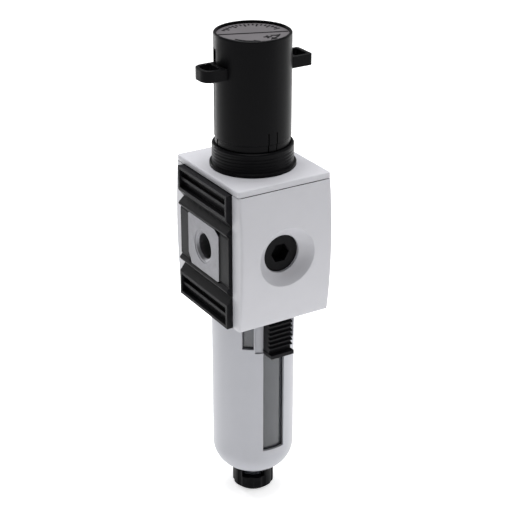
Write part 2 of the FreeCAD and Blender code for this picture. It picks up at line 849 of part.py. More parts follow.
def diaphragm_plate():
    return revolve(
        "diaphragm_plate",
        [
            (1.2, -14.0),
            (2.9, -14.0),
            (2.9, diaphragm_top + 0.05),
            (10.8, diaphragm_top + 0.05),
            (10.8, -7.0),
            (7.9, -7.0),
            (7.9, -4.5),
            (1.2, -4.5),
        ],
    )


def diaphragm():
    """Rubber diaphragm with one rolled convolution, clamped under the bonnet."""
    return revolve(
        "diaphragm",
        [
            (3.0, diaphragm_bottom + 0.02),
            (11.2, diaphragm_bottom + 0.02),
            (12.4, diaphragm_bottom - 0.9),
            (13.1, diaphragm_bottom + 0.02),
            (16.4, diaphragm_bottom + 0.02),
            (16.4, diaphragm_top - 0.02),
            (12.9, diaphragm_top - 0.02),
            (12.4, diaphragm_top - 0.7),
            (11.4, diaphragm_top - 0.02),
            (3.0, diaphragm_top - 0.02),
        ],
    )


def diaphragm_washer():
    keep("diaphragm_washer", tube("diaphragm_washer", (3.0, 8.0), (-11.2, diaphragm_bottom - 0.02)))


def valve_seat():
    return revolve(
        "valve_seat",
        [
            (4.0, -16.2),
            (7.0, -16.2),
            (7.0, -26.0),
            (5.2, -26.0),
            (4.6, -26.6),
            (4.0, -26.0),
        ],
    )


def valve_poppet():
    """Brass poppet: a stem up to the diaphragm, a disc for the seal and a lower guide."""
    return revolve(
        "valve_poppet",
        [
            (0, -14.05),
            (1.5, -14.6),
            (1.5, -28.0),
            (6.0, -28.0),
            (6.0, -29.4),
            (2.5, -29.4),
            (2.5, -48.0),
            (0, -48.0),
        ],
    )


def valve_disc():
    keep("valve_disc", tube("valve_disc", (1.55, 5.8), (-27.98, -26.65)))


def valve_cap():
    """Plug below the valve: guides the poppet, passes filtered air, holds the element's rod."""
    turned_cap = doc.addObject("PartDesign::Body", "valve_cap_turned")
    profile = sketch_on(turned_cap, "valve_cap_profile", "XZ_Plane")
    outline(
        profile,
        [
            (0, -50.4),
            (2.6, -50.4),
            (2.6, -46.0),
            (10.4, -46.0),
            (10.4, -48.6),
            (9.3, -48.6),
            (9.3, -50.2),
            (10.4, -50.2),
            (10.4, -52.0),
            (3.3, -52.0),
            (3.3, -58.0),
            (2.05, -58.0),
            (2.05, -51.4),
            (0, -51.4),
        ],
    )
    made = turned_cap.newObject("PartDesign::Revolution", "valve_cap_solid")
    made.Profile = profile
    made.ReferenceAxis = (profile, ["V_Axis"])
    made.Angle = 360
    holes = []
    for i in range(6):
        angle = math.radians(60 * i + 30)
        centre = (6.0 * math.cos(angle), 6.0 * math.sin(angle))
        holes.append(rod(f"valve_cap_hole_{i}", 1.5, (-53, -45), centre))
    keep("valve_cap", cut("valve_cap", turned_cap, *holes))


# ---------------------------------------------------------------- filter


def swirl_vane():
    """Deflector ring with slanted slots that spin the air in the bowl."""
    blank = tube("swirl_blank", (8.3, 14.3), (-57.4, -53.15))
    relief = tube("swirl_relief", (11.7, 13.6), (-58, -55.0))
    slots = []
    for i in range(10):
        slot = box(f"swirl_slot_{i}", (12.2, 16), (-0.8, 0.8), (-59, -54.4))
        tilt = FreeCAD.Rotation(FreeCAD.Vector(1, 0, 0), 28)
        spin = FreeCAD.Rotation(FreeCAD.Vector(0, 0, 1), 36 * i)
        holder = doc.addObject("Part::Compound", f"swirl_slot_turned_{i}")
        holder.Links = [slot]
        pivot = FreeCAD.Vector(0, 0, -56)
        holder.Placement = FreeCAD.Placement(FreeCAD.Vector(), spin.multiply(tilt), pivot)
        slots.append(holder)
    keep("swirl_vane", cut("swirl_vane", blank, relief, *slots))


def filter_element():
    keep("filter_element", tube("filter_element", (d.element_bore, d.element_radius), (-86.0, -57.45)))


def baffle():
    """Disc that closes the element and keeps the settled water still."""
    return revolve(
        "baffle",
        [
            (2.1, -88.6),
            (12.0, -88.6),
            (13.4, -91.0),
            (14.0, -91.0),
            (14.0, -89.6),
            (12.6, -86.1),
            (2.1, -86.1),
        ],
    )


def element_rod():
    """Rod that draws the baffle and the element up against the valve cap."""
    return revolve(
        "element_rod",
        [
            (0, -91.4),
            (3.4, -91.4),
            (3.4, -88.7),
            (2.0, -88.7),
            (2.0, -51.6),
            (0, -51.6),
        ],
    )


def dome_level(centre_radius, radius, at_radius):
    """Height of a dome's surface at a given distance from the axis."""
    reach = at_radius - centre_radius
    return -d.guard_dome_height - root(radius * radius - reach * reach)


def clear_bowl():
    """Transparent bowl with an O-ring groove and a shoulder that hangs on the guard."""
    outer = d.bowl_radius
    inner = outer - d.bowl_wall
    centre = d.guard_radius - d.guard_dome_radius
    outer_dome = outer - centre
    inner_dome = inner - centre
    floor = -d.guard_dome_height - inner_dome
    neck_end = 0.3 - d.drain_top - d.drain_tab
    return revolve(
        "clear_bowl",
        [
            (inner, -57.6),
            (15.1, -57.0),
            (15.1, -53.4),
            (16.9, -53.4),
            (16.9, -54.4),
            (15.7, -54.4),
            (15.7, -56.4),
            (16.9, -56.4),
            (16.9, -57.6),
            (18.4, -57.6),
            (18.4, -58.4),
            (outer, -58.4),
            (outer, -d.guard_dome_height, outer_dome, -1),
            (6.8, dome_level(centre, outer_dome, 6.8)),
            (6.8, neck_end),
            (4.6, neck_end),
            (4.6, floor),
            (centre, floor, inner_dome, 1),
            (inner, -d.guard_dome_height),
        ],
    )


def bowl_guard():
    """Guard round the bowl: bayonet neck, domed bottom, sight window, latch channel."""
    outer = d.guard_radius
    inner = outer - d.guard_wall
    centre = outer - d.guard_dome_radius
    inner_dome = d.guard_dome_radius - d.guard_wall
    shell = doc.addObject("PartDesign::Body", "guard_shell")
    profile = sketch_on(shell, "guard_profile", "XZ_Plane")
    outline(
        profile,
        [
            (inner, -58.5),
            (outer - 0.4, -58.5),
            (outer - 0.4, -d.guard_top),
            (outer, -d.guard_top),
            (outer, -d.guard_dome_height, d.guard_dome_radius, -1),
            (8.6, dome_level(centre, d.guard_dome_radius, 8.6)),
            (8.6, dome_level(centre, inner_dome, 8.6), inner_dome, 1),
            (inner, -d.guard_dome_height),
        ],
    )
    made = shell.newObject("PartDesign::Revolution", "guard_turned")
    made.Profile = profile
    made.ReferenceAxis = (profile, ["V_Axis"])
    made.Angle = 360
    lugs = [sector(f"guard_lug_{i}", (18.2, 19.9), (90 * i + 41, 90 * i + 49), (-61.2, -59.4)) for i in range(4)]
    ledge = box("guard_spring_ledge", (-1.5, 1.5), (-21.1, -17.9), (-83.3, -82.1))
    half = d.window_half_width
    window = box("guard_window", (-half, half), (-21, -13), (-d.window_bottom, -d.window_top))
    small = []
    for side, middle in (("left", -128), ("right", -52)):
        opening = sector(f"guard_side_window_{side}", (15, 21), (middle - 8, middle + 8), (-84.6, -d.guard_top - 0.6))
        small.append(opening)
    recess = sector("guard_latch_recess", (18.35, 21), (-118, -62), (-86.6, -d.guard_top + 1))
    channel = box("guard_latch_channel", (-6.0, 6.0), (-21, -18.3), (-92.0, -d.guard_top + 1))
    slotted = cut("guard_slotted", shell, window, recess, channel, *small)
    keep("bowl_guard", fuse("bowl_guard", slotted, ledge, *lugs))


def bowl_latch():
    """Thumb slide with cross ribs; its tongue keeps the guard from turning."""
    half = d.latch_half_width
    top, bottom = -d.latch_top, -d.latch_bottom
    front = -d.latch_front
    pad_block = box("latch_block", (-half, half), (front + 1.1, -18.4), (bottom, top))
    ribs = []
    for i in range(6):
        level = top - 2.4 - 2.25 * i
        ribs.append(latch_rib(f"latch_rib_{i}", level, front))
    lip = box("latch_lip", (-half - 0.3, half + 0.3), (front - 1.6, -18.6), (bottom, bottom + 1.7))
    shoulder = box("latch_shoulder", (-8.0, 8.0), (-21.6, -18.8), (top - 2.0, top))
    tongue = box("latch_tongue", (-4.0, 4.0), (-20.2, -18.4), (top - 1, body_bottom - 0.25))
    solid = fuse("latch_solid", pad_block, lip, shoulder, tongue, *ribs)
    spring_room = box("latch_spring_room", (-1.9, 1.9), (-21.6, -17.0), (bottom + 2.6, top - 5.3))
    keep("bowl_latch", cut("bowl_latch", solid, spring_room))


def latch_rib(name, level, front):
    """One wedge-shaped grip rib across the latch."""
    rib = doc.addObject("Part::Wedge", name)
    half = d.latch_half_width + 0.3
    bind(rib, Xmin=-half, Xmax=half, X2min=-half, X2max=half)
    bind(rib, Ymin=0, Ymax=2.0, Zmin=-0.9, Zmax=0.9, Z2min=-0.25, Z2max=0.25)
    rib.Placement.Rotation = FreeCAD.Rotation(FreeCAD.Vector(0, 0, 1), 180)
    bind(rib, Placement__Base__y=front + 1.8, Placement__Base__z=level)
    return rib


def drain():
    """Drain valve under the bowl: body, seal, stem, spring and turning knob."""
    floor = -d.drain_top - d.drain_tab
    flange_bottom = -d.drain_flange
    flange_top = flange_bottom + 1.6
    foot = floor - 1.1
    revolve(
        "drain_body",
        [
            (1.6, flange_top),
            (6.2, flange_top),
            (6.2, flange_bottom),
            (4.5, flange_bottom),
            (4.5, foot),
            (3.2, foot),
            (3.2, flange_bottom - 1.6),
            (1.6, flange_bottom - 1.6),
        ],
    )
    keep("drain_seal", ring("drain_seal", 5.3, 0.53, (0, 0, flange_bottom - 0.55)))
    revolve(
        "drain_stem",
        [
            (0, flange_top + 1.8),
            (2.6, flange_top + 1.8),
            (2.6, flange_top + 0.4),
            (1.5, flange_top + 0.05),
            (1.5, floor + 1.7),
            (3.0, floor + 1.7),
            (3.0, floor + 0.3),
            (0, floor + 0.3),
        ],
    )
    coil("drain_spring", 2.35, 0.28, floor + 1.75, flange_bottom - 1.65, 5)
    lobed_knob(floor)


def lobed_knob(floor):
    """Fluted drain knob: three upright tabs round its rim, a hose thread in the middle."""
    outer = d.drain_radius
    bottom = -d.drain_bottom
    blank = doc.addObject("PartDesign::Body", "drain_knob_blank")
    profile = sketch_on(blank, "drain_knob_profile", "XZ_Plane")
    outline(
        profile,
        [
            (d.drain_thread, floor),
            (2.95, floor),
            (2.95, floor - 1.4),
            (4.65, floor - 1.4),
            (4.65, floor),
            (7.6, floor),
            (7.6, -d.drain_top),
            (outer, -d.drain_top),
            (outer, bottom + 1.9),
            (outer - 2.2, bottom),
            (d.drain_thread, bottom),
        ],
    )
    made = blank.newObject("PartDesign::Revolution", "drain_knob_turned")
    made.Profile = profile
    made.ReferenceAxis = (profile, ["V_Axis"])
    made.Angle = 360
    cuts = []
    for i in range(3):
        gap = (120 * i - 35, 120 * i + 35)
        cuts.append(sector(f"drain_tab_gap_{i}", (7.0, outer + 1), gap, (floor, -d.drain_top + 1)))
    count = 10
    for i in range(count):
        angle = 2 * math.pi * (i + 0.5) / count
        reach = outer + 2.05
        flute = rod(f"drain_flute_{i}", 2.6, (bottom - 1, 1 - d.drain_top))
        put(flute, reach * math.cos(angle), reach * math.sin(angle), bottom - 1)
        cuts.append(flute)
    keep("drain_knob", cut("drain_knob", blank, *cuts))


# ---------------------------------------------------------------- assembly

core_housing()
cover("front_cover", "front")
cover("rear_cover", "rear")
top_lid()
for side, sign in (("left", -1), ("right", 1)):
    side_frame(f"side_frame_{side}", sign)
    port_bush(f"port_bush_{side}", sign)
    port_seal(f"port_seal_{side}", sign)
for side, sign in (("front", -1), ("rear", 1)):
    gauge_plug(f"gauge_plug_{side}", sign)
    seal = ring(f"gauge_seal_{side}", 6.35, 0.6, (0, sign * 18.3, port_z), "Y")
    keep(f"gauge_seal_{side}", seal)
bonnet()
lock_ring()
knob()
knob_disc()
lock_clip()
spindle()
thrust_washer()
spring_seat()
coil("regulating_spring", 9.4, 1.0, -6.97, 28.97, 6)
diaphragm_plate()
diaphragm()
diaphragm_washer()
valve_seat()
valve_poppet()
valve_disc()
coil("valve_spring", 4.4, 0.4, -45.97, -29.43, 7)
valve_cap()
keep("valve_cap_seal", ring("valve_cap_seal", 9.9, 0.55, (0, 0, -49.4)))
swirl_vane()
filter_element()
baffle()
element_rod()
clear_bowl()
keep("bowl_seal", ring("bowl_seal", 16.32, 0.62, (0, 0, -55.4)))
bowl_guard()
bowl_latch()
coil("latch_spring", 1.2, 0.2, -82.08, -73.52, 9, (0, -19.9))
drain()

# ---------------------------------------------------------------- checks and export

doc.recompute()
faults = [made.Name for made in doc.Objects if {"Invalid", "Error"} & set(made.State)]
for name, made in NODES.items():
    if made.Shape.isNull() or not made.Shape.isValid() or not made.Shape.Solids:
        faults.append(name)
if faults:
    raise RuntimeError("failed objects: " + ", ".join(sorted(set(faults))))
for name, made in NODES.items():
    made.Shape.exportStep(os.path.join("parts", f"{name}.step"))
    print(f"{name}: {len(made.Shape.Solids)} solid, {made.Shape.Volume:.1f} mm3")
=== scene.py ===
import json
import math

import bpy
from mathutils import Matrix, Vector


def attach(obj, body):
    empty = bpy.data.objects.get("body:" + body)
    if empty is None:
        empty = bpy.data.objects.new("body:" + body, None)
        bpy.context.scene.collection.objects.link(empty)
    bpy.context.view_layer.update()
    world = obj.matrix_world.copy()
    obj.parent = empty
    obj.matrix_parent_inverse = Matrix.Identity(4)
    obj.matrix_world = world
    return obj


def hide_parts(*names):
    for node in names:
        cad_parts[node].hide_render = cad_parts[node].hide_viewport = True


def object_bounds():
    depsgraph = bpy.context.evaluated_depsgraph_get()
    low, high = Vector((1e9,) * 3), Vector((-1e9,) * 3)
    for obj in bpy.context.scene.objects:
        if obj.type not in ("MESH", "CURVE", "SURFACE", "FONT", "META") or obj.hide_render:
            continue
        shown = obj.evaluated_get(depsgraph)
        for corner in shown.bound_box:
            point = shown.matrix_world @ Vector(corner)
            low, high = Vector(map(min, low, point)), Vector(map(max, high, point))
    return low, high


# Lockable filter pressure regulator for compressed air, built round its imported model.
# Metres, +Z up, the gauge side faces -Y. Profiles and sizes below are in millimetres.

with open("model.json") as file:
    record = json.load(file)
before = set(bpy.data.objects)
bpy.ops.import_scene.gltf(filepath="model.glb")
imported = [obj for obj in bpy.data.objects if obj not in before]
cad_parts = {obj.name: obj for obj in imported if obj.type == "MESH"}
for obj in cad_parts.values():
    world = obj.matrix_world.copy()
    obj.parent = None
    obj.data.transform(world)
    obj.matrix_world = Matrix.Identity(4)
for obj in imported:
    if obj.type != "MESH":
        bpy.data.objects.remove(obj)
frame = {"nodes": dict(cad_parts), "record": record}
cad_low, cad_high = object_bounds()
MM = 0.001
centre = (cad_low + cad_high) / 2

# ---------------------------------------------------------------- material building blocks

# Sizes in metres: surface grain, flow mottling and the radius of a rounded edge, which also sets the width
# of the painted edge highlight.
FINE = 0.00035
BROAD = 0.011
EDGE = 0.0003


def linear(level):
    """A grey or colour given as display levels from 0 to 255, as linear light."""
    levels = [level] * 3 if isinstance(level, (int, float)) else list(level)
    return [((v / 255 + 0.055) / 1.055) ** 2.4 if v > 10 else v / 255 / 12.92 for v in levels] + [1.0]


def new_material(name):
    """An empty node material with a Principled shader."""
    material = bpy.data.materials.new(name)
    material.use_nodes = True
    tree = material.node_tree
    shader = tree.nodes["Principled BSDF"]
    return material, tree, shader


def node(tree, kind, links=(), **settings):
    """A shader node with its settings; links is a list of (input, source socket or value)."""
    made = tree.nodes.new(kind)
    for key, value in settings.items():
        setattr(made, key, value)
    for key, source in links:
        if isinstance(source, bpy.types.NodeSocket):
            tree.links.new(source, made.inputs[key])
        else:
            made.inputs[key].default_value = source
    return made


def object_noise(tree, size, detail=3.0, roughness=0.55):
    """Noise whose features are about size metres, fixed to the object."""
    coords = node(tree, "ShaderNodeTexCoord")
    links = [("Vector", coords.outputs["Object"]), ("Scale", 1 / size)]
    links += [("Detail", detail), ("Roughness", roughness)]
    return node(tree, "ShaderNodeTexNoise", links).outputs["Fac"]


def spread(tree, source, low, high):
    """Maps noise around its middle to a range."""
    links = [("Value", source), ("From Min", 0.3), ("From Max", 0.7), ("To Min", low), ("To Max", high)]
    return node(tree, "ShaderNodeMapRange", links).outputs["Result"]


def scaled_colour(tree, colour, factor):
    """A colour times a factor that varies over the surface."""
    mix = tree.nodes.new("ShaderNodeMix")
    mix.data_type = "RGBA"
    mix.blend_type = "MULTIPLY"
    mix.inputs[0].default_value = 1.0
    mix.inputs[6].default_value = colour
    tree.links.new(factor, mix.inputs[7])
    return mix.outputs[2]


def blend_colour(tree, factor, first, second):
    """A mix of two colours, each a socket or a value."""
    mix = tree.nodes.new("ShaderNodeMix")
    mix.data_type = "RGBA"
    for index, value in ((0, factor), (6, first), (7, second)):
        if isinstance(value, bpy.types.NodeSocket):
            tree.links.new(value, mix.inputs[index])
        else:
            mix.inputs[index].default_value = value
    return mix.outputs[2]


def soft_edges(tree, radius):
    """Normal that rounds sharp edges over radius metres."""
    return node(tree, "ShaderNodeBevel", [("Radius", radius)], samples=4).outputs["Normal"]


def bump(tree, source, depth, normal):
    """Normal with a relief of depth metres added."""
    links = [("Height", source), ("Distance", depth), ("Strength", 1.0), ("Normal", normal)]
    return node(tree, "ShaderNodeBump", links).outputs["Normal"]


def painted_highlight_mask(tree, rounded):
    """Near 1 on sharp edges, where the rounded normal leaves the true one; it places the painted edge
    highlight.
    """
    geometry = node(tree, "ShaderNodeNewGeometry")
    dot = tree.nodes.new("ShaderNodeVectorMath")
    dot.operation = "DOT_PRODUCT"
    tree.links.new(rounded, dot.inputs[0])
    tree.links.new(geometry.outputs["Normal"], dot.inputs[1])
    links = [("Value", dot.outputs["Value"]), ("From Min", 0.98), ("From Max", 0.8)]
    links += [("To Min", 0.0), ("To Max", 1.0)]
    return node(tree, "ShaderNodeMapRange", links).outputs["Result"]


# ---------------------------------------------------------------- materials


def moulded(name, colour, roughness, mottle=0.03, depth=0.00002, painted_highlight_colour=None, gloss=0.5):
    """Moulded plastic: fine grain, faint flow mottling, rounded edges and, where an edge colour is given, a
    painted highlight of that lighter colour along sharp edges.
    """
    material, tree, shader = new_material(name)
    broad = object_noise(tree, BROAD, 4.0)
    fine = object_noise(tree, FINE, 2.0)
    rounded = soft_edges(tree, EDGE)
    tone = scaled_colour(tree, colour, spread(tree, broad, 1 - mottle, 1 + mottle))
    # Painted highlight: sharp edges take a lighter colour, standing in for light caught on the edges.
    if painted_highlight_colour is not None:
        tone = blend_colour(tree, painted_highlight_mask(tree, rounded), tone, painted_highlight_colour)
    tree.links.new(tone, shader.inputs["Base Color"])
    tree.links.new(spread(tree, broad, roughness - 0.04, roughness + 0.04), shader.inputs["Roughness"])
    tree.links.new(bump(tree, fine, depth, rounded), shader.inputs["Normal"])
    shader.inputs["Specular IOR Level"].default_value = gloss
    return material


def cast_metal(name, colour, roughness, depth=0.00004):
    """Die-cast or machined metal with mottled tone and a painted highlight: a brighter colour along sharp
    edges.
    """
    material, tree, shader = new_material(name)
    broad = object_noise(tree, 0.004, 5.0)
    fine = object_noise(tree, 0.0005, 3.0)
    rounded = soft_edges(tree, EDGE)
    # Painted highlight: sharp edges are brightened by a third, standing in for light caught on the edges.
    painted_metal_highlight = [min(c * 1.35, 1.0) for c in colour[:3]] + [1.0]
    tone = scaled_colour(tree, colour, spread(tree, broad, 0.9, 1.06))
    tone = blend_colour(tree, painted_highlight_mask(tree, rounded), tone, painted_metal_highlight)
    tree.links.new(tone, shader.inputs["Base Color"])
    tree.links.new(spread(tree, fine, roughness - 0.08, roughness + 0.08), shader.inputs["Roughness"])
    tree.links.new(bump(tree, fine, depth, rounded), shader.inputs["Normal"])
    shader.inputs["Metallic"].default_value = 1.0
    return material


def clear_plastic(name):
    """See-through plastic with faint waviness and a dark grey tint, darkened as painted shade so the inside
    seen through the sight window looks dim.
    """
    material, tree, shader = new_material(name)
    wave = object_noise(tree, 0.02, 2.0)
    geometry = node(tree, "ShaderNodeNewGeometry")
    tree.links.new(bump(tree, wave, 0.00008, geometry.outputs["Normal"]), shader.inputs["Normal"])
    # Dark grey base colour: painted shade that dims the view through the sight window.
    shader.inputs["Base Color"].default_value = (0.24, 0.255, 0.29, 1)
    shader.inputs["Roughness"].default_value = 0.09
    shader.inputs["IOR"].default_value = 1.58
    shader.inputs["Transmission Weight"].default_value = 0.85
    return material


def porous(name):
    """Sintered filter element: white grains with small dark pores."""
    material, tree, shader = new_material(name)
    grain = object_noise(tree, 0.0006, 3.0)
    tone = scaled_colour(tree, linear(222), spread(tree, grain, 0.75, 1.05))
    rounded = soft_edges(tree, EDGE)
    tree.links.new(tone, shader.inputs["Base Color"])
    tree.links.new(bump(tree, grain, 0.00025, rounded), shader.inputs["Normal"])
    shader.inputs["Roughness"].default_value = 0.85
    return material


MATERIALS = {
    "cover_grey": moulded("cover_grey", linear((182, 182, 187)), 0.46, 0.02),
    "guard_grey": moulded("guard_grey", linear((168, 169, 175)), 0.44, 0.02),
    # frame_black and knob_black get a lighter edge colour: a painted highlight on their sharp edges.
    "frame_black": moulded("frame_black", linear((18, 18, 21)), 0.5, 0.12, 0.00004, linear(38), 0.1),
    "knob_black": moulded("knob_black", linear((9, 9, 11)), 0.32, 0.1, 0.00002, linear(34), 0.06),
    "disc_grey": moulded("disc_grey", linear((82, 79, 82)), 0.42, 0.06),
    "inner_black": moulded("inner_black", linear((9, 9, 11)), 0.5, 0.1, gloss=0.08),
    "rubber": moulded("rubber", linear((24, 24, 25)), 0.7, 0.1),
    "zinc": cast_metal("zinc", linear((120, 120, 124)), 0.46),
    "steel": cast_metal("steel", linear((188, 188, 190)), 0.3),
    "brass": cast_metal("brass", linear((206, 176, 108)), 0.28),
    "plate_alu": cast_metal("plate_alu", linear((205, 205, 208)), 0.34),
    "clear": clear_plastic("clear"),
    "element_white": porous("element_white"),
}
SLOT_OF = {part["node"]: part["material_slot"] for part in frame["record"]["subparts"]}
BODY_OF = {name: body for body, names in frame["record"]["behaviour"]["bodies"].items() for name in names}


def paint(piece, material):
    """Every face of a piece in one material."""
    piece.data.materials.clear()
    piece.data.materials.append(material)


for name, piece in frame["nodes"].items():
    paint(piece, MATERIALS[SLOT_OF[name]])

# ---------------------------------------------------------------- mesh building blocks


def add_piece(name, points, faces, replaced, material, crease=32):
    """Mesh object in millimetre points, shaded smooth but for creases, standing for a CAD node."""
    mesh = bpy.data.meshes.new(name)
    mesh.from_pydata([Vector(p) * MM for p in points], [], faces)
    mesh.validate()
    mesh.update()
    mesh.shade_smooth()
    mesh.set_sharp_from_angle(angle=math.radians(crease))
    piece = bpy.data.objects.new(name, mesh)
    bpy.context.scene.collection.objects.link(piece)
    paint(piece, MATERIALS[material])
    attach(piece, BODY_OF[replaced])
    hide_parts(replaced)
    return piece


def strip(first, second, closed=True):
    """Quads between two rows of point numbers of the same length."""
    count = len(first) if closed else len(first) - 1
    size = len(first)
    return [(first[i], first[(i + 1) % size], second[(i + 1) % size], second[i]) for i in range(count)]


def lathe_rows(profile, segments, radius_at=None):
    """Points and faces of a closed (radius, height) profile turned about the axis.

    radius_at(angle, radius, height) may change a point's radius, as a thread does."""
    points, rows = [], []
    for radius, level in profile:
        row = []
        for i in range(segments):
            angle = 2 * math.pi * i / segments
            r = radius if radius_at is None else radius_at(angle, radius, level)
            row.append(len(points))
            points.append((r * math.cos(angle), r * math.sin(angle), level))
        rows.append(row)
    faces = []
    for i, row in enumerate(rows):
        faces += strip(row, rows[(i + 1) % len(rows)])
    return points, faces


def steps(start, end, count):
    """count + 1 evenly spaced values from start to end."""
    return [start + (end - start) * i / count for i in range(count + 1)]


# ---------------------------------------------------------------- covers

COVER_HALF = 22.7
COVER_WIDE = 23.2
COVER_STEP = 21.45
CORE_HALF = 20.35
CORE_FRONT = 20.5
COVER_FRONT = 26.8
COVER_BULGE = 2.4
COVER_TOP = -4.5
COVER_BOTTOM = -67.5
COVER_BACK = 17.0
COVER_EDGE = 1.2
COVER_WALL = 2.0
BULGE_MIDDLE = -34.5
BULGE_HALF = 33.0
BULGE_RADIUS = (BULGE_HALF ** 2 + COVER_BULGE ** 2) / (2 * COVER_BULGE)
PORT_LEVEL = -36.0
DISH_RADIUS = 16.45
DISH_CENTRE = COVER_FRONT + COVER_BULGE + 8.8
DISH_HOLE = 8.8
DISH_RIM = 13.9
DISH_BLEND = 0.22
PATCH_HALF = 15.4
PATCH_STEPS = 32
# (rise, inset) of the rows that round a cover's bottom edge, and the top edge in mirror.
EDGE_ROWS = [(0.0, 0.35), (0.06, 0.17), (0.18, 0.05), (0.36, 0.0)]
# Distances of the rings of points on both sides of the dish's rim.
RIM_SHIFTS = (0.7, 0.35, 0.2, 0.1, 0.0, -0.1, -0.2, -0.35, -0.7)
# Depths of the rings down the wall of the hole in the dish.
HOLE_DEPTHS = (0.4, 3.0, 6.0)


def front_at(level):
    """Distance of the bulged front face from the axis plane."""
    rise = level - BULGE_MIDDLE
    return COVER_FRONT + COVER_BULGE - BULGE_RADIUS + math.sqrt(BULGE_RADIUS ** 2 - rise ** 2)


def dish_at(radius):
    """Distance of the dish's bottom from the axis plane, at a radius from the port's axis."""
    return DISH_CENTRE - math.sqrt(max(DISH_RADIUS ** 2 - radius ** 2, 0.0))


def dished(x, level):
    """The bulged face with the dish blended in by a small round edge."""
    flat = front_at(level)
    hollow = dish_at(math.hypot(x, level - PORT_LEVEL))
    h = max(0.0, min(1.0, 0.5 + 0.5 * (flat - hollow) / DISH_BLEND))
    return flat + (hollow - flat) * h - DISH_BLEND * h * (1 - h)


def cover_profile(level, inset):
    """Outline of a cover at one level, from the left rear edge round the front to the right."""
    front = front_at(level) - inset
    half = COVER_WIDE - inset
    narrow = COVER_HALF - inset
    round_off = COVER_EDGE - inset
    arc = [math.radians(a) for a in steps(0, 90, 8)]
    left = [(-half + round_off * (1 - math.cos(a)), -front + round_off * (1 - math.sin(a))) for a in arc]
    right = [(-x, y) for x, y in reversed(left)]
    rear = [(-narrow, -COVER_BACK), (-narrow, -COVER_STEP), (-half, -COVER_STEP), (-half, left[0][1] + 0.5)]
    flat = steps(-PATCH_HALF, PATCH_HALF, PATCH_STEPS)
    beside = steps(left[-1][0], -PATCH_HALF, 4)[1:-1]
    middle = [(x, -front) for x in beside + flat + [-x for x in reversed(beside)]]
    return rear + left + middle + right + [(-x, y) for x, y in reversed(rear)]


def cover(side, sign):
    """One cover: an even grid over the bulged shell, with a round patch for the gauge dish."""
    low_patch, high_patch = PORT_LEVEL - PATCH_HALF, PORT_LEVEL + PATCH_HALF
    rows = [(COVER_BOTTOM + rise, inset) for rise, inset in EDGE_ROWS]
    rows += [(level, 0.0) for level in steps(rows[-1][0], low_patch, 10)[1:-1]]
    first_patch_row = len(rows)
    rows += [(level, 0.0) for level in steps(low_patch, high_patch, PATCH_STEPS)]
    last_patch_row = len(rows) - 1
    rows += [(level, 0.0) for level in steps(high_patch, COVER_TOP - EDGE_ROWS[-1][0], 10)[1:]]
    rows += [(COVER_TOP - rise, inset) for rise, inset in reversed(EDGE_ROWS[:-1])]
    lip = [(max(-CORE_HALF, min(x, CORE_HALF)), max(y, -CORE_FRONT)) for x, y in cover_profile(*rows[0])]
    points = [(x, y, COVER_BOTTOM) for x, y in lip]
    grid = []
    for level, inset in rows:
        line = cover_profile(level, inset)
        grid.append(list(range(len(points), len(points) + len(line))))
        points += [(x, y, level) for x, y in line]
    width = len(grid[0])
    left = (width - PATCH_STEPS - 1) // 2
    right = left + PATCH_STEPS
    faces = strip(list(range(width)), grid[0], closed=False)
    for j in range(len(grid) - 1):
        for i in range(width - 1):
            if left <= i < right and first_patch_row <= j < last_patch_row:
                continue
            faces.append((grid[j][i], grid[j][i + 1], grid[j + 1][i + 1], grid[j + 1][i]))
    bottom = [grid[first_patch_row][i] for i in range(left, right)]
    right_side = [grid[j][right] for j in range(first_patch_row, last_patch_row)]
    top = [grid[last_patch_row][i] for i in range(right, left, -1)]
    left_side = [grid[j][left] for j in range(last_patch_row, first_patch_row, -1)]
    ring = bottom + right_side + top + left_side
    radii = [DISH_RIM + shift for shift in RIM_SHIFTS]
    radii += steps(DISH_RIM - 1.2, DISH_HOLE + 0.3, 10)
    radii += [DISH_HOLE + 0.1, DISH_HOLE]
    outline_numbers = ring
    for radius in radii:
        inner = []
        for number in outline_numbers:
            x, level = points[number][0], points[number][2]
            reach = math.hypot(x, level - PORT_LEVEL)
            x, level = x * radius / reach, PORT_LEVEL + (level - PORT_LEVEL) * radius / reach
            inner.append(len(points))
            points.append((x, -dished(x, level), level))
        faces += strip(outline_numbers, inner)
        outline_numbers = inner
    for depth in HOLE_DEPTHS:
        inner = []
        for number in outline_numbers:
            x, _, level = points[number]
            inner.append(len(points))
            points.append((x, -dish_at(DISH_HOLE) + depth, level))
        faces += strip(outline_numbers, inner)
        outline_numbers = inner
    if sign > 0:
        points = [(x, -y, z) for x, y, z in points]
        faces = [tuple(reversed(face)) for face in faces]
    piece = add_piece(f"{side}_cover_shell", points, faces, f"{side}_cover", "cover_grey", 50)
    wall = piece.modifiers.new("wall", "SOLIDIFY")
    wall.thickness = COVER_WALL * MM
    wall.offset = -1
    return piece


# ---------------------------------------------------------------- neck and knob

NECK_RADIUS = 18.0
NECK_TOP = 8.9
THREAD_PITCH = 1.5
THREAD_DEPTH = 0.16
THREAD_START = 0.9
THREAD_END = 7.9
THREAD_FADE = 0.8
FLANK_SHARE = 0.36
NECK_ROUND = 0.9
SKIRT_RADIUS = 16.5
FLANGE_RADIUS = 19.1
TOWER_RADIUS = 14.0
TOWER_TOP = 38.0
SPINDLE_HOLE = 4.35


def thread_radius(angle, radius, level):
    """Radius on the neck's thread: a shallow V that runs up one pitch a turn and fades at its ends."""
    if radius < NECK_RADIUS - 0.01 or not THREAD_START < level < THREAD_END:
        return radius
    turn = (level / THREAD_PITCH - angle / (2 * math.pi)) % 1.0
    depth = max(0.0, 1.0 - abs(turn - 0.5) / FLANK_SHARE)
    fade = min(1.0, (level - THREAD_START) / THREAD_FADE, (THREAD_END - level) / THREAD_FADE)
    return radius - THREAD_DEPTH * fade * depth


